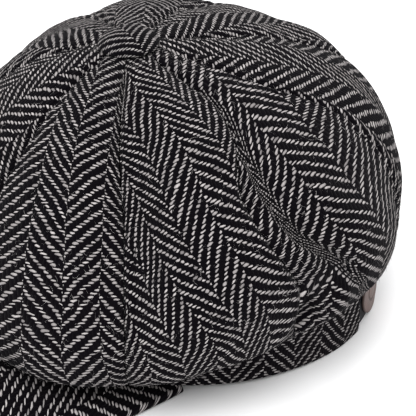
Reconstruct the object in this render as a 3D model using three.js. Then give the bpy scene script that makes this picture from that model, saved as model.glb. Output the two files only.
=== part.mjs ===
import * as THREE from 'three';

// An eight-panel tweed newsboy cap lying on a table, in millimetres with +Z up.
// The peak points along -Y and the wearer's left is +X. The table is z = 0.
// Angles run round the head from the front towards the wearer's left, in degrees.

// Band and back strap
const bandLength = 181;
const bandWidth = 177;
const bandHeight = 35;
const bandWall = 3;
const bandEdge = 0.5;
const bandBulge = 0.8;
const bulgeFrom = 0.35;
const bulgeTo = 0.6;
const bandEnd = 120;
const strapWall = 1.6;
const strapInset = 1.8;
const planPower = 2.1;

// The band's lower edge rises in front, where the peak is sewn under it
const peakLift = 5;
const peakArch = 6;
const archPower = 1.5;
const liftEnd = 110;

// Crown
const crownHeight = 133;
const crownReach = 120;
const crownCentre = -4.6;
const clothWall = 2.5;
const seamDepth = 4.2;
const seamRun = 14;
const seamPower = 3;
const panelCount = 8;
const tipRadius = 3;
const undersidePower = 1.52;
const sagShape = 1.72;

// Button
const buttonDiameter = 27;
const buttonHeight = 6.5;
const buttonRim = 2.2;
const buttonCrown = { plan: 2.4, height: 0.75 };
const buttonPlace = -29;

// Peak
const peakWidth = 168;
const peakReach = 142;
const peakRoot = 46;
const peakThickness = 4;
const peakAngle = 58;
const peakCorner = 13;
const peakCamber = 2.5;
const peakEdgeArch = 5;
const peakPower = 2.5;
const peakOpening = 0.6;
const peakNose = 0.4;

// Leather patch on the back strap
const patchAngle = 133;
const patchLength = 29;
const patchHeight = 27;
const patchMiddle = 14.2;
const patchThickness = 1.3;
const ringGroove = 0.5;

// Clearance between pieces that are sewn or laid together, and between crown panels along a seam
const gap = 0.3;
const seamGap = 0.4;

// One row each 45 degrees: reach as a share of crownReach, belly and sag as shares of crownHeight.
// The belly is the height of the widest place, and the sag is how far the cloth hangs under it.
const crownSections = [
  { angle: 0, reach: 0.982, belly: 0.225, sag: 0.14 },
  { angle: 45, reach: 0.993, belly: 0.286, sag: 0.135 },
  { angle: 90, reach: 0.937, belly: 0.494, sag: 0.115 },
  { angle: 135, reach: 0.873, belly: 0.438, sag: 0.05 },
  { angle: 180, reach: 0.83, belly: 0.6, sag: 0.04 },
  { angle: 225, reach: 0.955, belly: 0.565, sag: 0.06 },
  { angle: 270, reach: 0.966, belly: 0.528, sag: 0.1 },
  { angle: 315, reach: 1.006, belly: 0.345, sag: 0.15 },
];

// How full the dome is at the front and at the back
const domePlan = { front: 2.03, back: 1.88 };
const domeHeight = { front: 1.32, back: 2.1 };

// One row a seam: how far it wanders sideways, in degrees, high up, half way and at the belly
const seamWander = [
  { high: 5, middle: 4.5, low: 1 },
  { high: 0.8, middle: 3.6, low: 4 },
  { high: 6, middle: -9, low: -2 },
  { high: -11, middle: 1, low: -1 },
  { high: -3, middle: -2, low: 1 },
  { high: 2, middle: -2, low: 0 },
  { high: -1.5, middle: 2.5, low: -1 },
  { high: 2, middle: 3, low: -1.5 },
];
const wanderStops = { high: 0.25, middle: 0.6, low: 1.1 };

// One row a dent (depth below 0) or fold (depth above 0). place is 0 at the button, 1 at the belly
// and 2 at the band. depth, width and length are shares of crownReach, slant is in degrees.
const dents = [
  { angle: 53, place: 0.5, depth: -0.03, width: 0.1, length: 0.36, slant: 0 },
  { angle: 95, place: 0.9, depth: -0.022, width: 0.08, length: 0.36, slant: 31 },
  { angle: 103, place: 0.78, depth: 0.02, width: 0.12, length: 0.34, slant: 31 },
  { angle: 74, place: 0.8, depth: 0.016, width: 0.14, length: 0.24, slant: -12 },
  { angle: 26, place: 0.66, depth: 0.016, width: 0.16, length: 0.3, slant: 0 },
  { angle: 91, place: 1.2, depth: -0.03, width: 0.1, length: 0.12, slant: -20 },
  { angle: 103, place: 1.14, depth: 0.018, width: 0.1, length: 0.12, slant: -30 },
  { angle: 128, place: 0.86, depth: -0.014, width: 0.12, length: 0.2, slant: 50 },
  { angle: 205, place: 0.75, depth: -0.025, width: 0.14, length: 0.3, slant: 10 },
  { angle: 246, place: 0.6, depth: 0.018, width: 0.14, length: 0.3, slant: 0 },
  { angle: 296, place: 0.6, depth: -0.026, width: 0.13, length: 0.3, slant: 8 },
];

// How finely each surface is divided
const panelColumns = [0, 0.08, 0.2, 0.35, 0.5, 0.65, 0.8, 0.92, 1];
const domeRows = 11;
const undersideRows = 8;
const bandStep = 5;
const buttonSides = 28;
const buttonRings = { upper: [0.3, 0.6, 0.82, 0.95, 1], lower: [0.45, 0.9] };
const peakColumns = 34;
const peakRows = 6;
const patchSides = 32;

// The rings of the leather patch: share is of its half length and height, stand of its thickness
const patchRings = [
  { share: 0.25, stand: 1, pressed: 0 },
  { share: 0.46, stand: 1, pressed: 0 },
  { share: 0.5, stand: 1, pressed: 1 },
  { share: 0.56, stand: 1, pressed: 1 },
  { share: 0.6, stand: 1, pressed: 0 },
  { share: 0.92, stand: 1, pressed: 0 },
  { share: 1, stand: 0.7, pressed: 0 },
];
const patchBack = [0.5, 0.98];

const materials = {
  tweed: () => new THREE.MeshStandardMaterial({ color: 0x4b4646, roughness: 0.95, metalness: 0 }),
  strap: () => new THREE.MeshStandardMaterial({ color: 0x1a1a1d, roughness: 0.6, metalness: 0 }),
  leather: () => new THREE.MeshStandardMaterial({ color: 0x6e564f, roughness: 0.5, metalness: 0 }),
};

const radians = THREE.MathUtils.degToRad;
const lerp = THREE.MathUtils.lerp;
const clamp = THREE.MathUtils.clamp;
const outward = (angle) => new THREE.Vector2(Math.sin(radians(angle)), -Math.cos(radians(angle)));
const frontToBack = (pair, angle) => lerp(pair.back, pair.front, (1 + Math.cos(radians(angle))) / 2);

// A smooth curve round the head through one column of the crown sections
function around(column, angle) {
  const count = crownSections.length;
  const at = (((angle * count) / 360) % count + count) % count;
  const row = Math.floor(at);
  const g = at - row;
  const [a, b, c, d] = [-1, 0, 1, 2].map((k) => crownSections[(row + k + count) % count][column]);
  return b + 0.5 * g * (c - a + g * (2 * a - 5 * b + 4 * c - d + g * (3 * (b - c) + d - a)));
}

// The radius of the band's outer face, less an inset
function bandRadius(angle, inset = 0) {
  const long = Math.abs(Math.cos(radians(angle)) / (bandLength / 2 - inset)) ** planPower;
  const wide = Math.abs(Math.sin(radians(angle)) / (bandWidth / 2 - inset)) ** planPower;
  return (long + wide) ** (-1 / planPower);
}

// The height of the band's lower edge: flat on the table at the back, raised over the peak
function bandBottom(angle) {
  const c = Math.cos(radians(angle));
  const low = Math.cos(radians(liftEnd));
  const lift = peakLift * clamp((c - low) / (Math.cos(radians(peakAngle)) - low), 0, 1);
  const off = Math.abs(THREE.MathUtils.euclideanModulo(angle + 180, 360) - 180);
  const arch = off < peakAngle ? peakArch * Math.cos((off / peakAngle) * Math.PI / 2) ** archPower : 0;
  return lift + arch;
}

// The angle of a seam at a place between the button (0), the belly (1) and the band (2)
function seamAngle(seam, place) {
  const turns = Math.floor(seam / panelCount);
  const row = seamWander[seam - turns * panelCount];
  const stops = [
    [0, row.high * 0.5],
    [wanderStops.high, row.high],
    [wanderStops.middle, row.middle],
    [wanderStops.low, row.low],
    [2, row.low],
  ];
  const next = Math.max(1, stops.findIndex(([stop]) => stop >= place));
  const [from, start] = stops[next - 1];
  const [to, end] = stops[next];
  return (seam * 360) / panelCount + lerp(start, end, THREE.MathUtils.smoothstep(place, from, to));
}

// How far dents and folds move the cloth outwards at an angle and place
function dentDepth(angle, place) {
  let depth = 0;
  for (const dent of dents) {
    const side = THREE.MathUtils.euclideanModulo(angle - dent.angle + 180, 360) - 180;
    const across = radians(side) * Math.min(1, Math.sin(Math.min(place, 1) * Math.PI / 2));
    const along = place - dent.place;
    const turn = radians(dent.slant);
    const w = (across * Math.cos(turn) - along * Math.sin(turn)) / dent.width;
    const l = (across * Math.sin(turn) + along * Math.cos(turn)) / dent.length;
    depth += dent.depth * crownReach * Math.exp(-w * w - l * l);
  }
  return depth;
}

// The crown's outer surface. share runs over a panel from its seam (0) to the next (1).
function crownPoint(panel, share, place) {
  const over = Math.floor(share);
  const k = panel + over;
  const u = share - over;
  const angle = lerp(seamAngle(k, place), seamAngle(k + 1, place), u);
  const reach = around('reach', angle) * crownReach;
  const belly = around('belly', angle) * crownHeight;
  const up = (Math.min(place, 1) * Math.PI) / 2;
  const down = Math.max(place - 1, 0);
  const turn = (down * Math.PI) / 2;
  const spread = Math.sin(up) ** (2 / frontToBack(domePlan, angle));
  const nearSeam = Math.abs(2 * u - 1);
  const fade = clamp((spread * crownReach - buttonDiameter / 2) / seamRun, 0, 1) * Math.cos(turn);
  const push = dentDepth(angle, place) * fade - seamDepth * fade * nearSeam ** seamPower;
  const radius = spread * reach + push * Math.sin(up);
  const middle = lerp(buttonPlace, crownCentre, spread);
  const side = outward(angle);
  const top = new THREE.Vector3(side.x * radius, middle + side.y * radius, 0);
  top.z = belly + (crownHeight - belly) * Math.cos(up) ** (2 / frontToBack(domeHeight, angle));
  top.z += push * Math.cos(up);
  if (down === 0) {
    return top;
  }
  const seat = bandRadius(angle) + gap;
  const inwards = 1 - Math.cos(turn) ** (2 / undersidePower);
  const rise = Math.sin(turn) ** (2 / undersidePower);
  const bandTop = bandBottom(angle) + bandHeight + gap;
  const hang = around('sag', angle) * crownHeight * sagShape * Math.sin(Math.PI * down) * (1 - down);
  return new THREE.Vector3(
    lerp(top.x, side.x * seat, inwards),
    lerp(top.y, side.y * seat, inwards),
    lerp(belly, bandTop, rise) - hang,
  );
}

// The crown's outward normal, from points a small step away on each side
function crownNormal(panel, share, place) {
  const step = 0.025;
  const low = Math.min(place + step, 2 - step / 10);
  const high = Math.max(place - step, step / 10);
  const across = crownPoint(panel, share + step, place).sub(crownPoint(panel, share - step, place));
  const along = crownPoint(panel, share, low).sub(crownPoint(panel, share, high));
  return along.cross(across).normalize();
}

// A closed solid between two grids of points of the same size, the first being the outside
function shell(outer, inner) {
  const rows = outer.length;
  const columns = outer[0].length;
  const points = [...outer.flat(), ...inner.flat()];
  const index = [];
  const at = (side, i, j) => side * rows * columns + i * columns + j;
  const quad = (a, b, c, d) => index.push(a, b, c, a, c, d);
  for (let i = 0; i < rows - 1; i++) {
    for (let j = 0; j < columns - 1; j++) {
      quad(at(0, i, j), at(0, i + 1, j), at(0, i + 1, j + 1), at(0, i, j + 1));
      quad(at(1, i, j), at(1, i, j + 1), at(1, i + 1, j + 1), at(1, i + 1, j));
    }
  }
  for (let i = 0; i < rows - 1; i++) {
    quad(at(0, i, 0), at(1, i, 0), at(1, i + 1, 0), at(0, i + 1, 0));
    quad(at(0, i, columns - 1), at(0, i + 1, columns - 1), at(1, i + 1, columns - 1), at(1, i, columns - 1));
  }
  for (let j = 0; j < columns - 1; j++) {
    quad(at(0, 0, j), at(0, 0, j + 1), at(1, 0, j + 1), at(1, 0, j));
    quad(at(0, rows - 1, j), at(1, rows - 1, j), at(1, rows - 1, j + 1), at(0, rows - 1, j + 1));
  }
  return solid(points, index);
}

// A closed solid through a row of loops with the same number of points, capped at both ends
function loft(loops) {
  const size = loops[0].length;
  const points = loops.flat();
  const index = [];
  for (let i = 0; i < loops.length - 1; i++) {
    for (let j = 0; j < size; j++) {
      const k = (j + 1) % size;
      const [a, b, c, d] = [i * size + j, (i + 1) * size + j, (i + 1) * size + k, i * size + k];
      index.push(a, b, c, a, c, d);
    }
  }
  for (const end of [0, loops.length - 1]) {
    const centre = loops[end].reduce((sum, p) => sum.add(p), new THREE.Vector3()).divideScalar(size);
    const middle = points.push(centre) - 1;
    for (let j = 0; j < size; j++) {
      const pair = [end * size + j, end * size + ((j + 1) % size)];
      index.push(middle, ...(end === 0 ? pair : pair.reverse()));
    }
  }
  return solid(points, index);
}

// A closed lens between an upper and a lower surface, each given by rings round one middle point
function lens(upper, lower) {
  const size = upper.rings[0].length;
  const rings = [...upper.rings, ...lower.rings.slice().reverse()];
  const points = [...rings.flat(), upper.middle, lower.middle];
  const index = [];
  for (let i = 0; i < rings.length - 1; i++) {
    for (let j = 0; j < size; j++) {
      const k = (j + 1) % size;
      const [a, b, c, d] = [i * size + j, (i + 1) * size + j, (i + 1) * size + k, i * size + k];
      index.push(a, b, c, a, c, d);
    }
  }
  const last = (rings.length - 1) * size;
  for (let j = 0; j < size; j++) {
    const k = (j + 1) % size;
    index.push(rings.length * size, j, k);
    index.push(rings.length * size + 1, last + k, last + j);
  }
  return solid(points, index);
}

function solid(points, index) {
  const geometry = new THREE.BufferGeometry().setFromPoints(points);
  geometry.setIndex(index);
  geometry.computeVertexNormals();
  return geometry;
}

function named(name, geometry, material) {
  const mesh = new THREE.Mesh(geometry, material);
  mesh.name = name;
  return mesh;
}

// One gore of the crown: from its tip at the button, over the belly and in on to the band's top edge
function crownPanel(panel) {
  const tip = (2 / Math.PI) * Math.asin((tipRadius / crownReach) ** (frontToBack(domePlan, 90) / 2));
  const places = [];
  for (let i = 0; i <= domeRows; i++) {
    places.push(lerp(tip, 1, i / domeRows));
  }
  for (let i = 1; i <= undersideRows; i++) {
    places.push(1 + i / undersideRows);
  }
  const outer = [];
  const inner = [];
  for (const place of places) {
    const width = crownPoint(panel, 0, place).distanceTo(crownPoint(panel, 1, place));
    const trim = seamGap / 2 / width;
    const shares = panelColumns.map((share) => lerp(trim, 1 - trim, share));
    outer.push(shares.map((share) => crownPoint(panel, share, place)));
    inner.push(shares.map((share, j) => {
      const seamSide = panelColumns[j] === 0 || panelColumns[j] === 1;
      const normal = crownNormal(panel, seamSide ? panelColumns[j] : share, place);
      return crownPoint(panel, share, place).addScaledVector(normal, -clothWall);
    }));
  }
  const lap = (row, lift) => row.map((p) => {
    const angle = THREE.MathUtils.radToDeg(Math.atan2(p.x, -p.y));
    const side = outward(angle).multiplyScalar(bandRadius(angle, bandWall));
    return new THREE.Vector3(side.x, side.y, bandBottom(angle) + bandHeight + gap + lift);
  });
  const edge = outer[outer.length - 1];
  inner[inner.length - 1] = edge.map((p) => p.clone().setZ(p.z + clothWall));
  outer.push(lap(edge, 0));
  inner.push(lap(edge, clothWall));
  return shell(outer, inner);
}

// The height of the crown's cloth under a point near its top
function crownTop(x, y) {
  let spread = 0;
  let angle = 0;
  for (let i = 0; i < 12; i++) {
    const middle = lerp(buttonPlace, crownCentre, spread);
    angle = THREE.MathUtils.radToDeg(Math.atan2(x, middle - y));
    spread = Math.hypot(x, y - middle) / (around('reach', angle) * crownReach);
  }
  const up = Math.asin(spread ** (frontToBack(domePlan, angle) / 2));
  const belly = around('belly', angle) * crownHeight;
  return belly + (crownHeight - belly) * Math.cos(up) ** (2 / frontToBack(domeHeight, angle));
}

// A cloth-covered button whose underside follows the crown
function button() {
  const radius = buttonDiameter / 2;
  const ring = (share, height) => Array.from({ length: buttonSides }, (_, j) => {
    const turn = (j / buttonSides) * 2 * Math.PI;
    const x = radius * share * Math.cos(turn);
    const y = buttonPlace + radius * share * Math.sin(turn);
    return new THREE.Vector3(x, y, crownTop(x, y) + gap + height);
  });
  const dome = (share) => {
    return buttonRim + (buttonHeight - buttonRim) * (1 - share ** buttonCrown.plan) ** buttonCrown.height;
  };
  const upper = buttonRings.upper.map((share) => ring(share, dome(share)));
  const lower = buttonRings.lower.map((share) => ring(share, 0));
  const middle = (height) => new THREE.Vector3(0, buttonPlace, crownTop(0, buttonPlace) + gap + height);
  return lens({ rings: upper, middle: middle(dome(0)) }, { rings: lower, middle: middle(0) });
}

// A stretch of the head band between two angles, with its outer face bulging half way up
function bandStretch(from, to, { inset: outside, wall, bulge }) {
  const steps = Math.round((to - from) / bandStep);
  const inside = outside + wall;
  const section = [
    [outside + bandEdge, 0],
    [outside, bandEdge * 2],
    [outside - bulge, bandHeight * bulgeFrom],
    [outside - bulge, bandHeight * bulgeTo],
    [outside, bandHeight - bandEdge * 2],
    [outside + bandEdge, bandHeight],
    [inside - bandEdge, bandHeight],
    [inside, bandHeight - bandEdge * 2],
    [inside, bandEdge * 2],
    [inside - bandEdge, 0],
  ];
  const loops = [];
  for (let i = 0; i <= steps; i++) {
    const angle = lerp(from, to, i / steps);
    loops.push(section.map(([inset, height]) => {
      const side = outward(angle).multiplyScalar(bandRadius(angle, inset));
      return new THREE.Vector3(side.x, side.y, bandBottom(angle) + height);
    }));
  }
  return loft(loops);
}

// The peak, a bent plate from under the band's front edge out to its rounded front
function peak() {
  const loops = [];
  for (let i = 0; i <= peakColumns; i++) {
    const lead = lerp(-1, 1, i / peakColumns);
    const angle = lead * (peakAngle - 1);
    const turn = (lead * Math.PI) / 2;
    const root = outward(angle).multiplyScalar(bandRadius(angle, bandWall));
    const sideways = (peakWidth / 2) * Math.sign(turn) * Math.abs(Math.sin(turn)) ** (2 / peakPower);
    const forwards = (peakReach - peakRoot) * Math.abs(Math.cos(turn)) ** (2 / peakPower);
    const rim = new THREE.Vector2(sideways, -peakRoot - forwards);
    const open = Math.min(1, (peakAngle - Math.abs(angle)) / peakCorner) ** peakOpening;
    const rootTop = bandBottom(angle) - gap;
    const rimTop = peakThickness + peakEdgeArch * Math.cos(turn) ** 2;
    const top = [];
    const bottom = [];
    for (let j = 0; j <= peakRows; j++) {
      const s = (j / peakRows) * open;
      const flat = root.clone().lerp(rim, s);
      const camber = peakCamber * Math.sin(Math.PI * s) * Math.cos(turn);
      const height = lerp(rootTop, rimTop, s) + camber;
      top.push(new THREE.Vector3(flat.x, flat.y, height));
      bottom.push(new THREE.Vector3(flat.x, flat.y, Math.max(0, height - peakThickness)));
    }
    const nose = top[peakRows].clone().lerp(bottom[peakRows], 0.5);
    nose.add(nose.clone().sub(bottom[peakRows - 1]).setZ(0).setLength(peakThickness * peakNose));
    loops.push([...bottom, nose, ...top.reverse()]);
  }
  return loft(loops);
}

// The oval leather patch on the outside of the strap, with a pressed ring
function leatherPatch() {
  const place = (share, turn, stand) => {
    const along = (patchLength / 2) * share * Math.cos(turn);
    const height = patchMiddle + (patchHeight / 2) * share * Math.sin(turn);
    const angle = patchAngle + THREE.MathUtils.radToDeg(along / bandRadius(patchAngle));
    const side = outward(angle).multiplyScalar(bandRadius(angle, strapInset - gap - stand));
    return new THREE.Vector3(side.x, side.y, bandBottom(angle) + height);
  };
  const ring = (share, stand) => Array.from({ length: patchSides }, (_, j) => {
    return place(share, (j / patchSides) * 2 * Math.PI, stand);
  });
  const face = patchRings.map(({ share, stand, pressed }) => {
    return ring(share, patchThickness * stand - ringGroove * pressed);
  });
  const upper = { rings: face, middle: place(0, 0, patchThickness) };
  const lower = { rings: patchBack.map((share) => ring(share, 0)), middle: place(0, 0, 0) };
  return lens(upper, lower);
}

const cap = new THREE.Group();
for (let panel = 0; panel < panelCount; panel++) {
  cap.add(named(`crown_panel_${panel + 1}`, crownPanel(panel), materials.tweed()));
}
cap.add(named('button', button(), materials.tweed()));
const strapTrim = THREE.MathUtils.radToDeg(gap / bandRadius(bandEnd));
const tweedBand = { inset: 0, wall: bandWall, bulge: bandBulge };
const backStrap = { inset: strapInset, wall: strapWall, bulge: 0 };
cap.add(named('band', bandStretch(-bandEnd, bandEnd, tweedBand), materials.tweed()));
const strapEnds = [bandEnd + strapTrim, 360 - bandEnd - strapTrim];
cap.add(named('back_strap', bandStretch(...strapEnds, backStrap), materials.strap()));
cap.add(named('leather_patch', leatherPatch(), materials.leather()));
cap.add(named('peak', peak(), materials.tweed()));

// The origin is on the table under the middle of the cap
const reach = new THREE.Box3().setFromObject(cap);
cap.position.set(-(reach.min.x + reach.max.x) / 2, -(reach.min.y + reach.max.y) / 2, 0);
cap.updateMatrixWorld(true);

export default cap;
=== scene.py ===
import bpy
import numpy as np
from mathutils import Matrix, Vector


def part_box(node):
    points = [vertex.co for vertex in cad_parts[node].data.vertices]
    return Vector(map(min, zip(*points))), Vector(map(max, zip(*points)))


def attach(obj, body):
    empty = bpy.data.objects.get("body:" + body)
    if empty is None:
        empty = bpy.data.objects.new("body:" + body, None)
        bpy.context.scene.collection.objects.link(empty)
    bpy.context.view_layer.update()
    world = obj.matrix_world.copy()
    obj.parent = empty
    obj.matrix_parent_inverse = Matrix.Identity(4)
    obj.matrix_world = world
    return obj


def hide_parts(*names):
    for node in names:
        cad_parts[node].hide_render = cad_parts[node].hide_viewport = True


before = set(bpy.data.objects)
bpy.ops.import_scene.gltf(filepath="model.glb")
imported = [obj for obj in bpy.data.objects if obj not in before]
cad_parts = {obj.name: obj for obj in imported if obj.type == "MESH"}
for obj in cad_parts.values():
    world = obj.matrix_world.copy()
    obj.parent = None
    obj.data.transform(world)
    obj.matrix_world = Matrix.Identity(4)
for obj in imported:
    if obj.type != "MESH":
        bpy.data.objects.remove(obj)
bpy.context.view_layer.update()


def table(columns, *rows):
    """A list of rows that give their values by the names of the columns."""
    return [dict(zip(columns.split(), row)) for row in rows]


# Sizes are in millimetres about the band's middle, on the table. Angles are in degrees round the head, from
# the front by the wearer's left. A place on the crown is 0 at the button, 1 at the belly and 2 at the band.

# Band and back strap
BAND_LENGTH = 181
BAND_WIDTH = 177
BAND_HEIGHT = 35
BAND_WALL = 3
BAND_BULGE = 0.8
BAND_END = 120
STRAP_WALL = 1.6
STRAP_INSET = 1.8
PLAN_POWER = 2.1
PEAK_LIFT = 5
PEAK_ARCH = 6
ARCH_POWER = 1.5
LIFT_END = 110
BAND_SHIFT = 6

# The band's cross-section: rounded corners, a face of several rows, and the grid that it is made on
BAND_SECTION = {
    "corner": 0.55, "shoulder": 0.2, "low": 0.25, "high": 0.3, "inner": 0.5, "end": 1,
    "face": 0.5, "rows": 24, "step": 0.75, "measured_row": 10, "swell_power": 0.6,
}

# Crown
CROWN_HEIGHT = 133
CROWN_REACH = 120
CROWN_CENTRE = -4.6
CLOTH_WALL = 2.5
SEAM_DEPTH = 4.2
SEAM_RUN = 14
SEAM_POWER = 3
PANELS = 8
TIP_RADIUS = 3
UNDERSIDE_POWER = 1.52
SAG_SHAPE = 1.72

# Button
BUTTON_DIAMETER = 27
BUTTON_HEIGHT = 6.5
BUTTON_RIM = 2.2
BUTTON_PLACE = -29
BUTTON_GRAIN = 94.5
BUTTON_PITCH = 1.6
BUTTON_CORE = 0.3
BUTTON_SIDES = 96

# The rings of points of the button, as shares of its radius, and the heights of the last ones, under its rim
BUTTON_RINGS = [*np.linspace(0.02, 0.96, 26), 0.98, 0.992, 1, 0.995, 0.97, 0.9, 0.45]
BUTTON_TUCK = [1.1, 0.5, 0, 0]
BUTTON_DOME = {"plan": 2.4, "rise": 0.75}
BUTTON_UNROUND = {"share": 0.012, "lobes": 3, "phase": 1}
BUTTON_PLEAT = {"height": 0.16, "count": 11, "from": 0.8, "over": 0.2, "above": 1}

# Peak
PEAK_WIDTH = 168
PEAK_REACH = 142
PEAK_ROOT = 46
PEAK_THICKNESS = 4
PEAK_ANGLE = 58
PEAK_CORNER = 13
PEAK_CAMBER = 2.5
PEAK_EDGE_ARCH = 5
PEAK_POWER = 2.5
PEAK_OPENING = 0.6
PEAK_TRIM = 1
PEAK_GRID = {"stations": 161, "steps": 40, "spacing": 0.9}
PEAK_RIM = {"from": 0.08, "to": 0.92, "rows": 7, "reach": 0.4, "power": 0.6}
PEAK_SOFTENING = 6

# The direction on the table of the peak's weft and warp, and how coarse each is
PEAK_GRAIN = {"weft": (-9, 1.45), "warp": (100, 1.02)}
PEAK_SHIFT = -11
PEAK_ENDS = 20

# Leather patch
PATCH_ANGLE = 133
PATCH_LENGTH = 29
PATCH_HEIGHT = 27
PATCH_MIDDLE = 14.2
PATCH_THICKNESS = 1.3
PATCH_SIDES = 128

# The rings of points of the patch, as shares of its size, and how high the last ones stand, as shares of its
# thickness. Its pressed ring and the groove by its edge are at a share of its size too.
PATCH_RINGS = [*np.linspace(0.03, 0.9, 40), 0.93, 0.955, 0.975, 0.99, 1, 1, 0.98, 0.5]
PATCH_EDGE = [0.99, 0.96, 0.88, 0.72, 0.4, 0, 0]
RING = {"share": 0.53, "width": 0.045, "depth": 0.5}
GROOVE = {"share": 0.9, "width": 0.02, "depth": 0.1}

# Clearances between pieces
GAP = 0.3
SEAM_GAP = 0.4

# The crown at eight angles, 45 degrees apart: its reach as a share of CROWN_REACH, and the height of its
# belly and the sag of its underside as shares of CROWN_HEIGHT
SECTIONS = {
    "reach": [0.982, 0.993, 0.937, 0.873, 0.83, 0.955, 0.966, 1.006],
    "belly": [0.225, 0.286, 0.494, 0.438, 0.6, 0.565, 0.528, 0.345],
    "sag": [0.14, 0.135, 0.115, 0.05, 0.04, 0.06, 0.1, 0.15],
}

# The powers of the rounded plan and height of the crown's top
DOME_PLAN = {"front": 2.03, "back": 1.88}
DOME_HEIGHT = {"front": 1.32, "back": 2.1}

# How far each seam wanders from its even angle, at three places
SEAM_WANDER = table(
    "high middle low",
    (5, 4.5, 1), (0.8, 3.6, 4), (6, -9, -2), (-11, 1, -1),
    (-3, -2, 1), (2, -2, 0), (-1.5, 2.5, -1), (2, 3, -1.5),
)
WANDER_STOPS = {"high": 0.25, "middle": 0.6, "low": 1.1}

# Broad dents and bulges: depth is a share of CROWN_REACH, out above zero
DENTS = table(
    "angle place depth width length slant",
    (53, 0.5, -0.03, 0.1, 0.36, 0),
    (95, 0.9, -0.022, 0.08, 0.36, 31),
    (103, 0.78, 0.02, 0.12, 0.34, 31),
    (74, 0.8, 0.016, 0.14, 0.24, -12),
    (26, 0.66, 0.016, 0.16, 0.3, 0),
    (91, 1.2, -0.03, 0.1, 0.12, -20),
    (103, 1.14, 0.018, 0.1, 0.12, -30),
    (128, 0.86, -0.014, 0.12, 0.2, 50),
    (205, 0.75, -0.025, 0.14, 0.3, 10),
    (246, 0.6, 0.018, 0.14, 0.3, 0),
    (296, 0.6, -0.026, 0.13, 0.3, 8),
)

# Finer folds that only the render shows, in the same terms
FOLDS = table(
    "angle place depth width length slant",
    (94, 0.88, -0.016, 0.026, 0.32, 31),
    (98, 0.84, 0.009, 0.036, 0.3, 31),
    (90, 1.24, -0.034, 0.032, 0.13, -20),
    (84, 1.2, 0.02, 0.045, 0.14, -25),
    (99, 1.22, 0.022, 0.045, 0.14, -10),
    (53, 0.66, -0.02, 0.07, 0.3, -3),
    (62, 1.5, -0.012, 0.06, 0.2, 20),
    (20, 1.3, -0.012, 0.07, 0.2, -15),
    (150, 0.9, -0.014, 0.05, 0.2, -20),
    (215, 1.3, -0.014, 0.06, 0.2, 25),
    (262, 1.25, -0.014, 0.06, 0.2, -25),
    (310, 1.3, -0.014, 0.06, 0.22, 20),
)

# Sharp creases, each in one panel, with a roll of cloth on one side
CREASES = [
    {
        "panel": 2,
        "angle": [94, 87.7, 86.3, 87.6, 89.8, 93.5, 97.8, 101.3, 105.8],
        "place": [0.33, 0.46, 0.59, 0.68, 0.79, 0.86, 0.95, 1.05, 1.15],
        "depth": 2.8, "width": 1.9, "roll": 0.9, "roll_at": 4.8, "roll_width": 2.4,
    },
    {
        "panel": 2,
        "angle": [90, 91.5, 93, 94],
        "place": [1.08, 1.18, 1.3, 1.42],
        "depth": 2.4, "width": 1.6, "roll": 1.2, "roll_at": 4, "roll_width": 2.4,
    },
    {
        "panel": 1,
        "angle": [62, 68, 76, 84],
        "place": [1.28, 1.36, 1.42, 1.46],
        "depth": 1.2, "width": 1.8, "roll": 0.6, "roll_at": -4.5, "roll_width": 3,
    },
]

# How many steps such a line is measured in, and how its ends fade out
LINE_STEPS = 120
LINE_FADE = {"steps": 18, "power": 0.7}

# Weave: a column between two reversal lines is twelve warp ends wide
COLUMN = 15.6
COLUMN_ENDS = 12
END = COLUMN / COLUMN_ENDS
PICK = 1.6
PANEL_COLUMNS = 8
BUTTON_SHIFT = COLUMN + 1.5

# How the cloth of each panel was cut. lines are neighbouring reversal lines of the herringbone, the first
# one number first: how far each lies from the panel's axis at each of the distances from the crown's tip,
# in millimetres, the even ones valleys. picks is how closely the picks lie there, turn how far the weft
# leans out of square, ends how many of the twelve warp ends each column shows.
GRAIN_STOPS = [0, 40, 80, 120, 160]
GRAIN = [
    {
        "first": -2,
        "lines": [
            [-41, -38, -32, -29, -23],
            [-17, -12, -6.9, -2.2, 4.7],
            [-8.3, 1.5, 9, 17.7, 25.4],
            [3.2, 16.1, 25.5, 33.8, 44.2],
            [13, 29, 41, 49, 60],
        ],
        "picks": [1.3, 1.3, 1.15, 1.03, 1], "turn": [0.1, 0.1, 0.1, 0.1, 0.1], "ends": 10.8,
    },
    {
        "first": -2,
        "lines": [
            [-60, -48, -31, -22.7, -14.8],
            [-46, -35, -22, -10.2, 0.3],
            [-29.3, -20.4, -10, 3.2, 12.3],
            [-9, -7.6, 5.5, 18.7, 23.6],
            [0, 6, 21.5, 36.5, 45.6],
            [9, 17, 39, 53, 64],
        ],
        "picks": [1.05, 1.05, 1.06, 1.06, 1.02], "turn": [0.2, 0.22, 0.26, 0.26, 0.26], "ends": 12,
    },
    {
        "first": -3,
        "lines": [
            [-26, -43, -60, -65, -58],
            [-3, -20, -37, -42.4, -36],
            [19.7, 1.9, -15.5, -20.9, -14.7],
            [42.6, 26.2, 9.7, 3.6, 7.4],
            [62, 46, 37, 44, 50],
        ],
        "picks": [1.25, 1.2, 1.1, 1, 1], "turn": [-0.15, -0.12, 0.06, 0.15, 0.14], "ends": 12,
    },
    {
        "first": 0, "lines": [[-8, -7.5, -5.5, -12, -20], [10, 10.5, 12.5, 6, -2]],
        "picks": [1, 1, 1, 1, 1], "turn": [0.2, 0.2, 0.2, 0.2, 0.2], "ends": 12,
    },
]

# The panels on the far side are cut straight, and differ in where their first reversal line lies
for line in ([3] * 5, [-4] * 5, [0] * 5, [8, 8, 6, 4, 4]):
    grain = {"first": 0, "lines": [line, [at + COLUMN for at in line]]}
    GRAIN.append({**grain, "picks": [1] * 5, "turn": [0] * 5, "ends": COLUMN_ENDS})

# How far the grain runs on past its last stop, and how many neighbours on a side smooth its lines
GRAIN_BEYOND = 80
LINE_SMOOTHING = 20
SLOPE_SMOOTHING = 11

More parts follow.
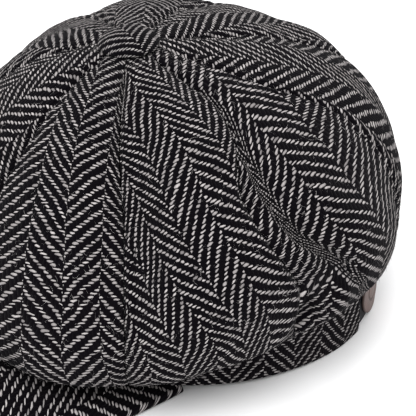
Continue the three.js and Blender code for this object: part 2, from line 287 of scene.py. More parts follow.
# The tuck of one panel: a line from seam to band along which a stretch of cloth is drawn in, so that its
# floats lie squeezed and stretched within a narrow strip
TUCK = {
    "panel": 2, "cloth": 4 / 3 * COLUMN, "width": 5.4,
    "angle": [95.5, 94, 87.7, 86.3, 87.6, 89.8, 93.5, 97.8, 101.3, 105.8, 111, 116],
    "place": [0.25, 0.33, 0.46, 0.59, 0.68, 0.79, 0.86, 0.95, 1.05, 1.15, 1.4, 2],
}

# How the pattern goes uneven where the cloth is gathered in to the band
BUNCH = {"from": 1.1, "over": 0.5}

# How deep each seam's valley is here, as a share of the solid's
SEAM_SHARE = [0.95, 1, 0.9, 0.45, 0.8, 0.8, 0.8, 0.8]

# Seam and cloth detail, in millimetres
CREASE = {"depth": 0.7, "width": 1.3}
ROLL = {"height": 0.45, "from_seam": 2.8, "width": 1.6}
STITCH = {"depth": 0.4, "from_seam": 5.2, "width": 0.7, "pitch": 3.6, "dip": 0.3}
PUCKER = {"height": 0.16, "pitch": 8.5, "reach": 8, "panel_phase": 1.7, "side_phase": 2.1}

# The grid of a panel, whose columns lie closer by its seams
PANEL_GRID = {"above": 96, "below": 66, "columns": 111, "least": 0.35, "power": 0.25}

# The unevenness of each surface: the size of its waves, their seed, and how far they move it
WAVES = {
    "puff": {"size": 46, "seed": 3, "height": 0.7},
    "dimple": {"size": 17, "seed": 5, "height": 0.25},
    "pucker": {"size": 40, "seed": 11, "height": 1},
    "bunch_across": {"size": 26, "seed": 51, "height": 2.2},
    "bunch_along": {"size": 20, "seed": 52, "height": 2.4},
    "band": {"size": 30, "seed": 21, "height": 0.5},
    "band_fine": {"size": 11, "seed": 22, "height": 0.2},
    "peak": {"size": 34, "seed": 31, "height": 0.35},
    "patch": {"size": 9, "seed": 41, "height": 0.12},
}
WAVE_COUNT = 6
WAVE_GAIN = 1.6
WAVE_PITCHES = (0.7, 1.4)
BAND_WAVE_RADIUS = 90

# Stray hairs: each draws its first four values between two limits. rows and columns say how far they keep
# from a panel's edges, spoke is the angle between a hair's sides in radians.
HAIR = {
    "length": (1.4, 4.2), "rise": (0.15, 0.75), "curl": (-1.4, 1.4), "thick": (0.025, 0.05),
    "rows": (6, 8), "columns": (2, 3), "sunk": 0.25, "travel": 0.85, "arch": 2.1, "arch_height": 0.45,
    "taper": 0.7, "steps": 5, "sides": 3, "spoke": 2.094,
}
HAIR_COUNT = {"full": 4800, "quick": 400}
HAIR_SEED = 7

# Painted light and shade on the light yarn of each piece: the crown's a little darker, the band's darker as
# painted shade under the crown's overhang, and the peak's lighter as painted light where the crown shades it
PAINTED_LIGHT_BY_PIECE = {"crown": 0.96, "band": 0.8, "peak": 1.15}

# Colours of the cloth: the limits of the light and of the dark yarn, dull and soiled light floats, the
# shade between yarns, and the fluff on the dark
LIGHT_YARN = [(0.54, 0.505, 0.497, 1), (0.32, 0.297, 0.294, 1)]
DARK_YARN = [(0.002, 0.0015, 0.0024, 1), (0.009, 0.0078, 0.0098, 1)]
DULL_YARN = (0.12, 0.11, 0.112, 1)
SOILED_YARN = (0.25, 0.232, 0.232, 1)
YARN_SHADE = (0.045, 0.04, 0.043, 1)
YARN_FLUFF = (0.12, 0.11, 0.11, 1)

# Colours of the stray hairs, the strap, the patch and the floor
HAIR_COLOURS = [(0.05, 0.045, 0.05, 1), (0.5, 0.47, 0.46, 1)]
WEBBING = {"deep": (0.008, 0.008, 0.01, 1), "fuzz": (0.022, 0.021, 0.025, 1), "worn": (0.04, 0.037, 0.04, 1)}
LEATHER = [(0.1, 0.066, 0.058, 1), (0.14, 0.095, 0.085, 1)]
LEATHER_RING = (0.04, 0.024, 0.02, 1)
LEATHER_EDGE = (0.045, 0.027, 0.023, 1)
LEATHER_PORE = (0.08, 0.05, 0.045, 1)
FLOOR_COLOUR = (0.93, 0.93, 0.935, 1)

# How the yarns wander off straight lines: the scale of the noise, and how far it moves them each way
DRIFT = {
    "wide": {"scale": 0.055, "across": 3.4, "along": 3.0},
    "fine": {"scale": 0.42, "across": 0.9, "along": 1.1},
}

# A light float, in warp ends across and picks along: its half sizes, how far they and its place differ, how
# it leans and waves, and the power that rounds its ends
FLOAT = {
    "reach": 0.96, "reach_spread": 0.44, "width": 0.34, "width_spread": 0.2,
    "shift": 0.34, "lean": 0.13, "wave": 0.36, "power": 2.1,
}

# A dark float: its place in the repeat of four, its half length, the powers that round it, and its height
WARP_FLOAT = {"at": 3.0, "reach": 1.15, "across": 2.2, "along": 2.4, "height": 0.62}

# The camera that fits the photo, in degrees and millimetres
AZIMUTH = np.radians(59.66)
ELEVATION = np.radians(32.13)
DISTANCE = 722.69
LENS = 131.9
SENSOR = 36
AIM = {"right": 9.16, "up": 40}

# Lamps, in metres from the cap as the camera sees it, and the even light of the room
LAMPS = table(
    "name right ahead up size watts",
    ("key", -0.2, 1, 1.6, 1.5, 35),
    ("back", 0.2, -0.9, 1.9, 1.7, 19),
)
ROOM_LIGHT = 0.85
FLOOR_REACH = 6

# Where the band's middle lies in the frame
low, high = (np.array(tuple(corner)) * 1000 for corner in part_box("band"))
MIDDLE = np.array([(low[0] + high[0]) / 2, low[1] + BAND_LENGTH / 2 + BAND_BULGE, 0])


def around(column, angle):
    """A smooth curve round the head through one column of the crown sections."""
    values = np.array(SECTIONS[column])
    count = len(values)
    at = np.mod(np.asarray(angle) * count / 360, count)
    row = np.floor(at).astype(int)
    g = at - row
    a, b, c, d = (values[(row + k) % count] for k in (-1, 0, 1, 2))
    return b + 0.5 * g * (c - a + g * (2 * a - 5 * b + 4 * c - d + g * (3 * (b - c) + d - a)))


def front_to_back(pair, angle):
    """A value that goes smoothly from its front one to its back one round the head."""
    return pair["back"] + (pair["front"] - pair["back"]) * (1 + np.cos(np.radians(angle))) / 2


def outward(angle):
    """The direction on the table at an angle round the head."""
    return np.sin(np.radians(angle)), -np.cos(np.radians(angle))


def band_radius(angle, inset=0):
    """How far the band's face, or a face so far inside it, lies from the middle."""
    turn = np.radians(angle)
    long = np.abs(np.cos(turn) / (BAND_LENGTH / 2 - inset)) ** PLAN_POWER
    wide = np.abs(np.sin(turn) / (BAND_WIDTH / 2 - inset)) ** PLAN_POWER
    return (long + wide) ** (-1 / PLAN_POWER)


def band_bottom(angle):
    """The band's lower edge: flat on the table at the back, raised over the peak."""
    low = np.cos(np.radians(LIFT_END))
    lift = (np.cos(np.radians(angle)) - low) / (np.cos(np.radians(PEAK_ANGLE)) - low)
    off = np.abs(np.mod(np.asarray(angle) + 180, 360) - 180)
    arch = np.maximum(np.cos(off / PEAK_ANGLE * np.pi / 2), 0) ** ARCH_POWER
    return PEAK_LIFT * np.clip(lift, 0, 1) + np.where(off < PEAK_ANGLE, PEAK_ARCH * arch, 0)


def seam_angle(seam, place):
    """The angle of a seam at a place, with its wander."""
    row = SEAM_WANDER[seam % PANELS]
    stops = [0, WANDER_STOPS["high"], WANDER_STOPS["middle"], WANDER_STOPS["low"], 2]
    values = [row["high"] * 0.5, row["high"], row["middle"], row["low"], row["low"]]
    wander = np.full(np.shape(place), float(values[0]))
    for (start, end), (a, b) in zip(zip(stops, stops[1:]), zip(values, values[1:])):
        t = np.clip((place - start) / (end - start), 0, 1)
        wander = np.where(place > start, a + (b - a) * t * t * (3 - 2 * t), wander)
    return seam * 360 / PANELS + wander


def dent_depth(angle, place, dents):
    """How far all the dents and bulges together move the crown's cloth."""
    depth = np.zeros(np.broadcast(angle, place).shape)
    for dent in dents:
        side = np.mod(angle - dent["angle"] + 180, 360) - 180
        across = np.radians(side) * np.minimum(1, np.sin(np.minimum(place, 1) * np.pi / 2))
        along = place - dent["place"]
        turn = np.radians(dent["slant"])
        w = (across * np.cos(turn) - along * np.sin(turn)) / dent["width"]
        l = (across * np.sin(turn) + along * np.cos(turn)) / dent["length"]
        depth = depth + dent["depth"] * CROWN_REACH * np.exp(-w * w - l * l)
    return depth


def crown_point(panel, share, place, dents=DENTS, seam=SEAM_DEPTH, extra=None):
    """The crown's outer surface. share runs over a panel, place from the button to the band."""
    share, place = np.broadcast_arrays(share, place)
    angle = seam_angle(panel, place) * (1 - share) + seam_angle(panel + 1, place) * share
    reach = around("reach", angle) * CROWN_REACH
    belly = around("belly", angle) * CROWN_HEIGHT
    up = np.minimum(place, 1) * np.pi / 2
    down = np.maximum(place - 1, 0)
    turn = down * np.pi / 2
    spread = np.sin(up) ** (2 / front_to_back(DOME_PLAN, angle))
    near_seam = np.abs(2 * share - 1)
    fade = np.clip((spread * CROWN_REACH - BUTTON_DIAMETER / 2) / SEAM_RUN, 0, 1) * np.cos(turn)
    push = dent_depth(angle, place, dents) * fade - seam * fade * near_seam ** SEAM_POWER
    if extra is not None:
        push = push + extra * fade
    radius = spread * reach + push * np.sin(up)
    middle = BUTTON_PLACE + (CROWN_CENTRE - BUTTON_PLACE) * spread
    sx, sy = outward(angle)
    cosine = np.maximum(np.cos(up), 0)
    x = sx * radius
    y = middle + sy * radius
    z = belly + (CROWN_HEIGHT - belly) * cosine ** (2 / front_to_back(DOME_HEIGHT, angle)) + push * cosine
    seat = band_radius(angle) + GAP
    inwards = 1 - np.maximum(np.cos(turn), 0) ** (2 / UNDERSIDE_POWER)
    rise = np.sin(turn) ** (2 / UNDERSIDE_POWER)
    band_top = band_bottom(angle) + BAND_HEIGHT + GAP
    hang = around("sag", angle) * CROWN_HEIGHT * SAG_SHAPE * np.sin(np.pi * down) * (1 - down)
    under = down > 0
    x = np.where(under, x + (sx * seat - x) * inwards, x)
    y = np.where(under, y + (sy * seat - y) * inwards, y)
    z = np.where(under, belly + (band_top - belly) * rise - hang, z)
    return np.stack([x, y, z], -1)


def waves(kind, x, y, z):
    """Smooth three-dimensional unevenness of one kind, made of a few sine waves."""
    row = WAVES[kind]
    pick = np.random.default_rng(row["seed"])
    total = np.zeros(np.broadcast(x, y, z).shape)
    for _ in range(WAVE_COUNT):
        direction = pick.normal(size=3)
        direction /= np.linalg.norm(direction)
        phase = pick.uniform(0, 2 * np.pi)
        pitch = row["size"] * pick.uniform(*WAVE_PITCHES)
        travel = x * direction[0] + y * direction[1] + z * direction[2]
        total = total + np.sin(2 * np.pi * travel / pitch + phase)
    return total / WAVE_COUNT * WAVE_GAIN * row["height"]


def normals(grid):
    """Unit normals of a grid of points, towards the side from which rows run down and columns right."""
    along = np.gradient(grid, axis=0)
    across = np.gradient(grid, axis=1)
    normal = np.cross(along, across)
    return normal / np.maximum(np.linalg.norm(normal, axis=-1, keepdims=True), 1e-9)


def arc(grid, axis):
    """Distance travelled along one axis of a grid of points."""
    step = np.linalg.norm(np.diff(grid, axis=axis), axis=-1)
    start = np.zeros_like(step.take([0], axis=axis))
    return np.concatenate([start, np.cumsum(step, axis=axis)], axis=axis)


def smooth(values, reach):
    """A row of values, each averaged with so many neighbours on both sides."""
    kernel = np.hanning(2 * reach + 1)
    return np.convolve(np.pad(values, reach, mode="edge"), kernel / kernel.sum(), mode="valid")


def make_mesh(name, points, faces, uvs, material, body="root"):
    """A mesh piece from points in millimetres about the band's middle, with weave coordinates."""
    mesh = bpy.data.meshes.new(name)
    places = (np.asarray(points) + MIDDLE) / 1000
    mesh.from_pydata(places.tolist(), [], [list(map(int, f)) for f in faces])
    mesh.materials.append(material)
    layer = mesh.uv_layers.new(name="weave")
    loops = np.zeros(len(mesh.loops), int)
    mesh.loops.foreach_get("vertex_index", loops)
    layer.data.foreach_set("uv", np.asarray(uvs, float)[loops].ravel())
    mesh.polygons.foreach_set("use_smooth", np.ones(len(mesh.polygons), bool))
    mesh.update()
    piece = bpy.data.objects.new(name, mesh)
    bpy.context.scene.collection.objects.link(piece)
    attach(piece, body)
    return piece


def grid_faces(rows, columns, start=0, flip=False, wrap=False):
    """Four-sided faces between the points of a grid, which may close round on itself."""
    i, j = np.meshgrid(np.arange(rows - 1), np.arange(columns if wrap else columns - 1), indexing="ij")
    k = (j + 1) % columns
    a, b, c, d = (start + r * columns + s for r, s in ((i, j), (i + 1, j), (i + 1, k), (i, k)))
    faces = np.stack([a, b, c, d], -1).reshape(-1, 4)
    return faces[:, ::-1] if flip else faces


def shell_faces(rows, columns):
    """Faces of a closed sheet whose outer grid of points comes before its inner one."""
    size = rows * columns
    outer = grid_faces(rows, columns)
    inner = grid_faces(rows, columns, size, flip=True)
    left = np.arange(rows) * columns
    right = left + columns - 1
    top = np.arange(columns)
    bottom = top + (rows - 1) * columns
    rims = []
    for edge, flip in ((left, False), (right, True), (top, True), (bottom, False)):
        quad = np.stack([edge[:-1], edge[:-1] + size, edge[1:] + size, edge[1:]], -1)
        rims.append(quad[:, ::-1] if flip else quad)
    return np.concatenate([outer, inner, *rims])


def beside(line, panel, share, base):
    """How far points of a panel lie from a line on it, above zero right of it, and its nearest step."""
    stops = np.arange(len(line["angle"]))
    steps = np.linspace(0, stops[-1], LINE_STEPS + 1)
    angle = np.interp(steps, stops, line["angle"])
    place = np.interp(steps, stops, line["place"])
    start = seam_angle(panel, place)
    along = (angle - start) / (seam_angle(panel + 1, place) - start)
    gaps = base[:, :, None, :] - crown_point(panel, along, place)[None, None]
    distance = np.linalg.norm(gaps, axis=-1)
    nearest = distance.argmin(-1)
    return distance.min(-1) * np.where(share > along[nearest], 1, -1), nearest


def creased(panel, share, base):
    """How far the sharp creases move the cloth of one panel."""
    push = np.zeros(share.shape)
    for crease in CREASES:
        if crease["panel"] == panel:
            off, nearest = beside(crease, panel, share, base)
            ends = np.minimum(nearest, LINE_STEPS - nearest) / LINE_FADE["steps"]
            fade = np.clip(ends, 0, 1) ** LINE_FADE["power"]
            groove = -crease["depth"] * np.exp(-(off / crease["width"]) ** 2)
            roll = crease["roll"] * np.exp(-((off - crease["roll_at"]) / crease["roll_width"]) ** 2)
            push += fade * (groove + roll)
    return push


def flat_pattern(panel, points):
    """Weave coordinates of a panel: across its axis, and along it from the tip."""
    middle = points.shape[1] // 2
    across = arc(points, 1)
    across = across - across[:, middle:middle + 1]
    run = arc(points[:, middle], 0) + TIP_RADIUS
    half = (across[:, -1] - across[:, 0]) / 2
    slope = smooth(np.gradient(half, run), SLOPE_SMOOTHING)
    along = run[:, None] - 0.5 * across ** 2 / half[:, None] * slope[:, None]
    grain = GRAIN[panel]
    rows = np.arange(GRAIN_STOPS[-1] + GRAIN_BEYOND)
    lines = []
    for line in grain["lines"]:
        line = smooth(np.interp(rows, GRAIN_STOPS, line), LINE_SMOOTHING)
        lines.append(np.interp(along, rows, line))
    off = across - lines[-grain["first"]]
    weft = along + np.interp(along, GRAIN_STOPS, grain["turn"]) * off
    picks = np.cumsum(np.interp(rows, GRAIN_STOPS, grain["picks"]))
    lines.append(2 * lines[-1] - lines[-2])
    column = (across - lines[0]) / (lines[1] - lines[0])
    for number in range(1, len(lines) - 1):
        line = lines[number]
        column = np.where(across > line, number + (across - line) / (lines[number + 1] - line), column)
    centre = np.floor(column) + 0.5
    column = centre + (column - centre) * grain["ends"] / COLUMN_ENDS
    column = (column + grain["first"] + panel * PANEL_COLUMNS) * COLUMN
    return np.stack([column, np.interp(weft, rows, picks)], -1)


def panel_points(panel, share, place):
    """The dressed outer surface of one crown panel."""
    base = crown_point(panel, share, place)
    spot = np.moveaxis(base, -1, 0)
    off = np.minimum(share, 1 - share) * arc(base, 1)[:, -1:]
    run = arc(base, 0)
    side = np.where(share < 0.5, 0, 1)
    beat = 2 * np.pi * run / PUCKER["pitch"] + panel * PUCKER["panel_phase"] + side * PUCKER["side_phase"]
    beat = beat + waves("pucker", *spot)
    stitch = np.exp(-((off - STITCH["from_seam"]) / STITCH["width"]) ** 2)
    stitch *= 1 - STITCH["dip"] + STITCH["dip"] * np.cos(2 * np.pi * run / STITCH["pitch"])
    extra = -CREASE["depth"] * np.exp(-(off / CREASE["width"]) ** 2)
    extra += ROLL["height"] * np.exp(-((off - ROLL["from_seam"]) / ROLL["width"]) ** 2)
    extra -= STITCH["depth"] * stitch
    extra += PUCKER["height"] * np.sin(beat) * np.exp(-(off / PUCKER["reach"]) ** 2)
    extra += waves("puff", *spot) + waves("dimple", *spot)
    extra += creased(panel, share, base)
    seam = np.where(share < 0.5, SEAM_SHARE[panel], SEAM_SHARE[(panel + 1) % PANELS]) * SEAM_DEPTH
    return crown_point(panel, share, place, DENTS + FOLDS, seam, extra)


def panel_weave(panel, share, place, outer):
    """Weave coordinates of a panel with its tuck, and uneven where the cloth is gathered."""
    uvs = flat_pattern(panel, outer)
    if panel == TUCK["panel"]:
        off = beside(TUCK, panel, share, crown_point(panel, share, place))[0]
        uvs[..., 0] -= TUCK["cloth"] * np.clip(0.5 - off / TUCK["width"], 0, 1)
    bunch = np.clip((place - BUNCH["from"]) / BUNCH["over"], 0, 1)[..., None]
    spot = np.moveaxis(outer, -1, 0)
    return uvs + bunch * np.stack([waves("bunch_across", *spot), waves("bunch_along", *spot)], -1)


def crown_panel(panel, material):
    """One gore of the crown: a closed sheet of cloth from the button to the lap inside the band's top."""
    tip = 2 / np.pi * np.arcsin((TIP_RADIUS / CROWN_REACH) ** (front_to_back(DOME_PLAN, 90) / 2))
    places = np.concatenate([
        np.linspace(tip, 1, PANEL_GRID["above"]), np.linspace(1, 2, PANEL_GRID["below"])[1:],
    ])
    ease = np.linspace(-1, 1, PANEL_GRID["columns"])
    least = PANEL_GRID["least"]
    closer = (least + (1 - least) * np.abs(ease)) ** PANEL_GRID["power"]
    shares = 0.5 + 0.5 * np.sin(ease * np.pi / 2) * closer
    share, place = np.meshgrid(shares, places)
    outer = panel_points(panel, share, place)
    uvs = panel_weave(panel, share, place, outer)
    trim = SEAM_GAP / 2 / arc(outer, 1)[:, -1][:, None]
    inside = trim + (1 - 2 * trim) * shares[None, :]
    share, place = np.broadcast_arrays(inside, places[:, None])
    outer = np.stack([[np.interp(s, shares, row[:, k]) for k in range(3)] for s, row in zip(share, outer)])
    outer = np.moveaxis(outer, 1, 2)
    plain = crown_point(panel, share, place)
    inner = plain - CLOTH_WALL * normals(plain)
    edge = outer[-1]
    angle = np.degrees(np.arctan2(edge[:, 0], -edge[:, 1]))
    sx, sy = outward(angle)
    lap = np.stack([sx, sy], -1) * band_radius(angle, BAND_WALL)[:, None]
    height = band_bottom(angle) + BAND_HEIGHT + GAP
    inner[-1] = edge + [0, 0, CLOTH_WALL]
    outer = np.concatenate([outer, np.column_stack([lap, height])[None]])
    inner = np.concatenate([inner, np.column_stack([lap, height + CLOTH_WALL])[None]])
    uvs = np.concatenate([uvs, uvs[-1:] + [0, BAND_WALL]])
    points = np.concatenate([outer.reshape(-1, 3), inner.reshape(-1, 3)])
    both = np.concatenate([uvs.reshape(-1, 2)] * 2)
    piece = make_mesh(f"panel_{panel + 1}_cloth", points, shell_faces(*outer.shape[:2]), both, material)
    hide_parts(f"crown_panel_{panel + 1}")
    return outer, uvs


def crown_top(x, y):
    """The height of the crown's cloth under a point near its top."""
    spread = np.zeros(np.shape(x))
    for _ in range(12):
        middle = BUTTON_PLACE + (CROWN_CENTRE - BUTTON_PLACE) * spread
        angle = np.degrees(np.arctan2(x, middle - y))
        spread = np.hypot(x, y - middle) / (around("reach", angle) * CROWN_REACH)
    up = np.arcsin(spread ** (front_to_back(DOME_PLAN, angle) / 2))
    belly = around("belly", angle) * CROWN_HEIGHT
    return belly + (CROWN_HEIGHT - belly) * np.cos(up) ** (2 / front_to_back(DOME_HEIGHT, angle))


def button(material):
    """The covered button: a domed disc with its cloth tucked under the rim."""
    turn = np.arange(BUTTON_SIDES) / BUTTON_SIDES * 2 * np.pi
    shares = np.array(BUTTON_RINGS)
    rounded = np.maximum(1 - shares ** BUTTON_DOME["plan"], 0) ** BUTTON_DOME["rise"]
    domed = BUTTON_RIM + (BUTTON_HEIGHT - BUTTON_RIM) * rounded
    domed[-len(BUTTON_TUCK):] = BUTTON_TUCK
    share, angle = np.meshgrid(shares, turn, indexing="ij")
    uneven = BUTTON_UNROUND["share"] * np.sin(BUTTON_UNROUND["lobes"] * angle + BUTTON_UNROUND["phase"])
    radius = BUTTON_DIAMETER / 2 * share * (1 + uneven)
    x = radius * np.cos(angle)
    y = BUTTON_PLACE + radius * np.sin(angle)
    near_rim = np.clip((share - BUTTON_PLEAT["from"]) / BUTTON_PLEAT["over"], 0, 1)
    pleat = BUTTON_PLEAT["height"] * np.sin(BUTTON_PLEAT["count"] * angle) * near_rim
    z = crown_top(x, y) + GAP + domed[:, None] + pleat * (domed[:, None] > BUTTON_PLEAT["above"])
    outer = np.stack([x, y, z], -1)
    tilt = np.radians(BUTTON_GRAIN)
    across = x * np.cos(tilt) + (y - BUTTON_PLACE) * np.sin(tilt)
    along = -x * np.sin(tilt) + (y - BUTTON_PLACE) * np.cos(tilt)
    stretch = (arc(outer, 0) + BUTTON_CORE) / radius
    uvs = np.stack([across * stretch + BUTTON_SHIFT, along * stretch * BUTTON_PITCH], -1)
    faces = loft_faces(len(shares), BUTTON_SIDES)
    piece = make_mesh("button_cloth", outer.reshape(-1, 3), faces, uvs.reshape(-1, 2), material)
    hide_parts("button")
    return piece


def loft_faces(stations, size):
    """Faces of a closed body through loops of points, with both ends capped."""
    faces = grid_faces(stations, size, wrap=True).tolist()
    last = (stations - 1) * size
    return faces + [list(range(size)), list(range(last + size - 1, last - 1, -1))]


def band_stretch(name, node, material, slot, start, end, inset, wall, bulge, ripple):
    """A stretch of the head band with rounded edges and a slightly uneven face."""
    row = BAND_SECTION
    steps = int((end - start) / row["step"])
    angle = start + (end - start) * np.linspace(0, 1, steps + 1)
    height = np.linspace(row["end"], BAND_HEIGHT - row["end"], row["rows"])
    swell = bulge * np.sin(np.pi * height / BAND_HEIGHT) ** row["swell_power"]
    section = [
        (inset + row["corner"], 0), (inset + row["shoulder"], row["low"]), *zip(inset - swell, height),
        (inset + row["shoulder"], BAND_HEIGHT - row["high"]), (inset + row["corner"], BAND_HEIGHT),
        (inset + wall - row["inner"], BAND_HEIGHT), (inset + wall, BAND_HEIGHT - row["end"]),
        (inset + wall, row["end"]), (inset + wall - row["inner"], 0),
    ]
    depth, rise = np.array(section).T
    turn, depth = np.meshgrid(angle, depth, indexing="ij")
    rise = np.broadcast_to(rise, depth.shape)
    sx, sy = outward(turn)
    spot = (sx * BAND_WAVE_RADIUS, sy * BAND_WAVE_RADIUS, rise)
    bump = waves("band", *spot) + waves("band_fine", *spot)
    front = (depth < inset + row["face"]) * np.sin(np.pi * np.clip(rise / BAND_HEIGHT, 0, 1))
    radius = band_radius(turn, depth) + ripple * bump * front
    points = np.stack([sx * radius, sy * radius, band_bottom(turn) + rise], -1)
    travel = arc(points[:, row["measured_row"]], 0)[:, None] + 0 * rise
    uvs = np.stack([travel + BAND_SHIFT, BAND_HEIGHT - rise + depth - inset], -1)
    flat = points.reshape(-1, 3)
    piece = make_mesh(name, flat, loft_faces(*depth.shape), uvs.reshape(-1, 2), material)
    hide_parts(node)
    return piece


def peak(material):
    """The stiff peak, from under the band's front edge to its rounded rim."""
    lead = np.linspace(-1, 1, PEAK_GRID["stations"])[:, None]
    angle = lead * (PEAK_ANGLE - PEAK_TRIM)
    turn = lead * np.pi / 2
    sx, sy = outward(angle)
    root = band_radius(angle, BAND_WALL)
    cosine = np.maximum(np.cos(turn), 0)
    side = PEAK_WIDTH / 2 * np.sign(turn) * np.abs(np.sin(turn)) ** (2 / PEAK_POWER)
    ahead = -PEAK_ROOT - (PEAK_REACH - PEAK_ROOT) * cosine ** (2 / PEAK_POWER)
    opening = np.minimum(1, (PEAK_ANGLE - np.abs(angle)) / PEAK_CORNER) ** PEAK_OPENING
    s = np.linspace(0, 1, PEAK_GRID["steps"] + 1)[None, :] ** PEAK_GRID["spacing"] * opening
    x = sx * root + (side - sx * root) * s
    y = sy * root + (ahead - sy * root) * s
    top = band_bottom(angle) - GAP
    rim = PEAK_THICKNESS + PEAK_EDGE_ARCH * cosine ** 2
    height = top + (rim - top) * s + PEAK_CAMBER * np.sin(np.pi * s) * cosine
    soft = np.clip(s * PEAK_SOFTENING, 0, 1) * np.clip((1 - s) * PEAK_SOFTENING, 0, 1)
    upper = np.stack([x, y, height + soft * waves("peak", x, y, height)], -1)
    lower = np.stack([x, y, np.maximum(0, height - PEAK_THICKNESS)], -1)
    out = upper[:, -1] - upper[:, -2]
    out[:, 2] = 0
    out /= np.maximum(np.linalg.norm(out, axis=1, keepdims=True), 1e-6)
    rims = []
    for share in np.linspace(PEAK_RIM["from"], PEAK_RIM["to"], PEAK_RIM["rows"]):
        level = upper[:, -1] * (1 - share) + lower[:, -1] * share
        swell = PEAK_RIM["reach"] * np.sin(np.pi * share) ** PEAK_RIM["power"]
        rims.append(level + out * PEAK_THICKNESS * swell)
    rims = np.stack(rims, 1)[:, ::-1]
    loops = np.concatenate([lower, rims, upper[:, ::-1]], 1)
    weft, warp = (np.array(outward(turned + 90)) * coarse for turned, coarse in PEAK_GRAIN.values())
    cell = np.linalg.inv(np.stack([weft, warp], 1))
    flat = loops[..., :2] - [0, 1] * (loops[..., 2:] - PEAK_THICKNESS)
    uvs = flat @ cell.T + [PEAK_SHIFT, 0]
    faces = loft_faces(*loops.shape[:2])
    piece = make_mesh("peak_cloth", loops.reshape(-1, 3), faces, uvs.reshape(-1, 2), material)
    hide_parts("peak")
    return piece


def leather_patch(material):
    """The oval patch on the strap, with a pressed ring."""
    turn = np.arange(PATCH_SIDES) / PATCH_SIDES * 2 * np.pi
    shares = np.array(PATCH_RINGS)
    stand = np.full(shares.shape, float(PATCH_THICKNESS))
    stand -= RING["depth"] * np.exp(-((shares - RING["share"]) / RING["width"]) ** 4)
    stand -= GROOVE["depth"] * np.exp(-((shares - GROOVE["share"]) / GROOVE["width"]) ** 2)
    stand[-len(PATCH_EDGE):] = np.array(PATCH_EDGE) * PATCH_THICKNESS
    share, angle = np.meshgrid(shares, turn, indexing="ij")
    along = PATCH_LENGTH / 2 * share * np.cos(angle)
    height = PATCH_MIDDLE + PATCH_HEIGHT / 2 * share * np.sin(angle)
    place = PATCH_ANGLE + np.degrees(along / band_radius(PATCH_ANGLE))
    sx, sy = outward(place)
    lift = np.broadcast_to(stand[:, None], share.shape)
    uneven = waves("patch", along, height, 0) * (lift > 1)
    radius = band_radius(place, STRAP_INSET - GAP) + lift + uneven
    points = np.stack([sx * radius, sy * radius, band_bottom(place) + height], -1)
    faces = [face[::-1] for face in loft_faces(len(shares), PATCH_SIDES)]
    uvs = np.stack([along, height], -1).reshape(-1, 2)
    piece = make_mesh("patch_leather", points.reshape(-1, 3), faces, uvs, material)
    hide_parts("leather_patch")
    return piece


class Graph:
    """Builds one material out of nodes. Numbers and sockets can be mixed freely."""

    def __init__(self, name):
        self.material = bpy.data.materials.new(name)
        self.material.use_nodes = True
        self.tree = self.material.node_tree
        self.tree.nodes.clear()
        self.count = 0

    def node(self, kind, settings=(), inputs=()):
        node = self.tree.nodes.new(kind)
        node.location = (self.count % 20 * 180, -(self.count // 20) * 220)
        self.count += 1
        for key, value in dict(settings).items():
            setattr(node, key, value)
        for key, value in dict(inputs).items():
            self.plug(node.inputs[key], value)
        return node

    def plug(self, socket, value):
        if isinstance(value, bpy.types.NodeSocket):
            self.tree.links.new(value, socket)
        else:
            socket.default_value = value

    def math(self, operation, a, b=0.0, c=0.0, clamp=False):
        node = self.node("ShaderNodeMath", {"operation": operation, "use_clamp": clamp})
        for socket, value in zip(node.inputs, (a, b, c)):
            self.plug(socket, value)
        return node.outputs[0]

    def add(self, *values):
        total = values[0]
        for value in values[1:]:
            total = self.math("ADD", total, value)
        return total

    def sub(self, a, b):
        return self.math("SUBTRACT", a, b)

    def mul(self, *values):
        total = values[0]
        for value in values[1:]:
            total = self.math("MULTIPLY", total, value)
        return total

    def power(self, a, b):
        return self.math("POWER", self.math("ABSOLUTE", a), b)

    def ramp(self, value, low, high, to_low=0.0, to_high=1.0):
        inputs = {"Value": value, "From Min": low, "From Max": high, "To Min": to_low, "To Max": to_high}
        return self.node("ShaderNodeMapRange", {"interpolation_type": "SMOOTHSTEP"}, inputs).outputs[0]

    def vector(self, x, y, z=0.0):
        return self.node("ShaderNodeCombineXYZ", (), {"X": x, "Y": y, "Z": z}).outputs[0]

    def noise(self, vector, scale, detail=2.0, roughness=0.5):
        inputs = {"Vector": vector, "Scale": scale, "Detail": detail, "Roughness": roughness}
        return self.node("ShaderNodeTexNoise", (), inputs)

    def random(self, vector):
        return self.node("ShaderNodeTexWhiteNoise", {"noise_dimensions": "3D"}, {"Vector": vector})

    def mix(self, share, a, b):
        node = self.node("ShaderNodeMix", {"data_type": "RGBA"})
        self.plug(node.inputs[0], share)
        self.plug(node.inputs[6], a)
        self.plug(node.inputs[7], b)
        return node.outputs[2]

    def weave(self):
        """The cloth's own coordinates, in millimetres."""
        return self.node("ShaderNodeUVMap", {"uv_map": "weave"}).outputs[0]

    def parts(self, vector):
        return self.node("ShaderNodeSeparateXYZ", (), {"Vector": vector}).outputs

    def spread(self, value, width):
        """A value between 0 and 1 as a move to both sides, so wide in all."""
        return self.mul(self.sub(value, 0.5), width)

    def bump(self, strength, distance, height):
        inputs = {"Strength": strength, "Distance": distance, "Height": height}
        return self.node("ShaderNodeBump", (), inputs).outputs[0]

    def surface(self, color, roughness, normal, settings=()):
        shader = self.node("ShaderNodeBsdfPrincipled", (), dict(settings))
        self.plug(shader.inputs["Base Color"], color)
        self.plug(shader.inputs["Roughness"], roughness)
        self.plug(shader.inputs["Normal"], normal)
        output = self.node("ShaderNodeOutputMaterial")
        self.tree.links.new(shader.outputs[0], output.inputs["Surface"])
        return self.material


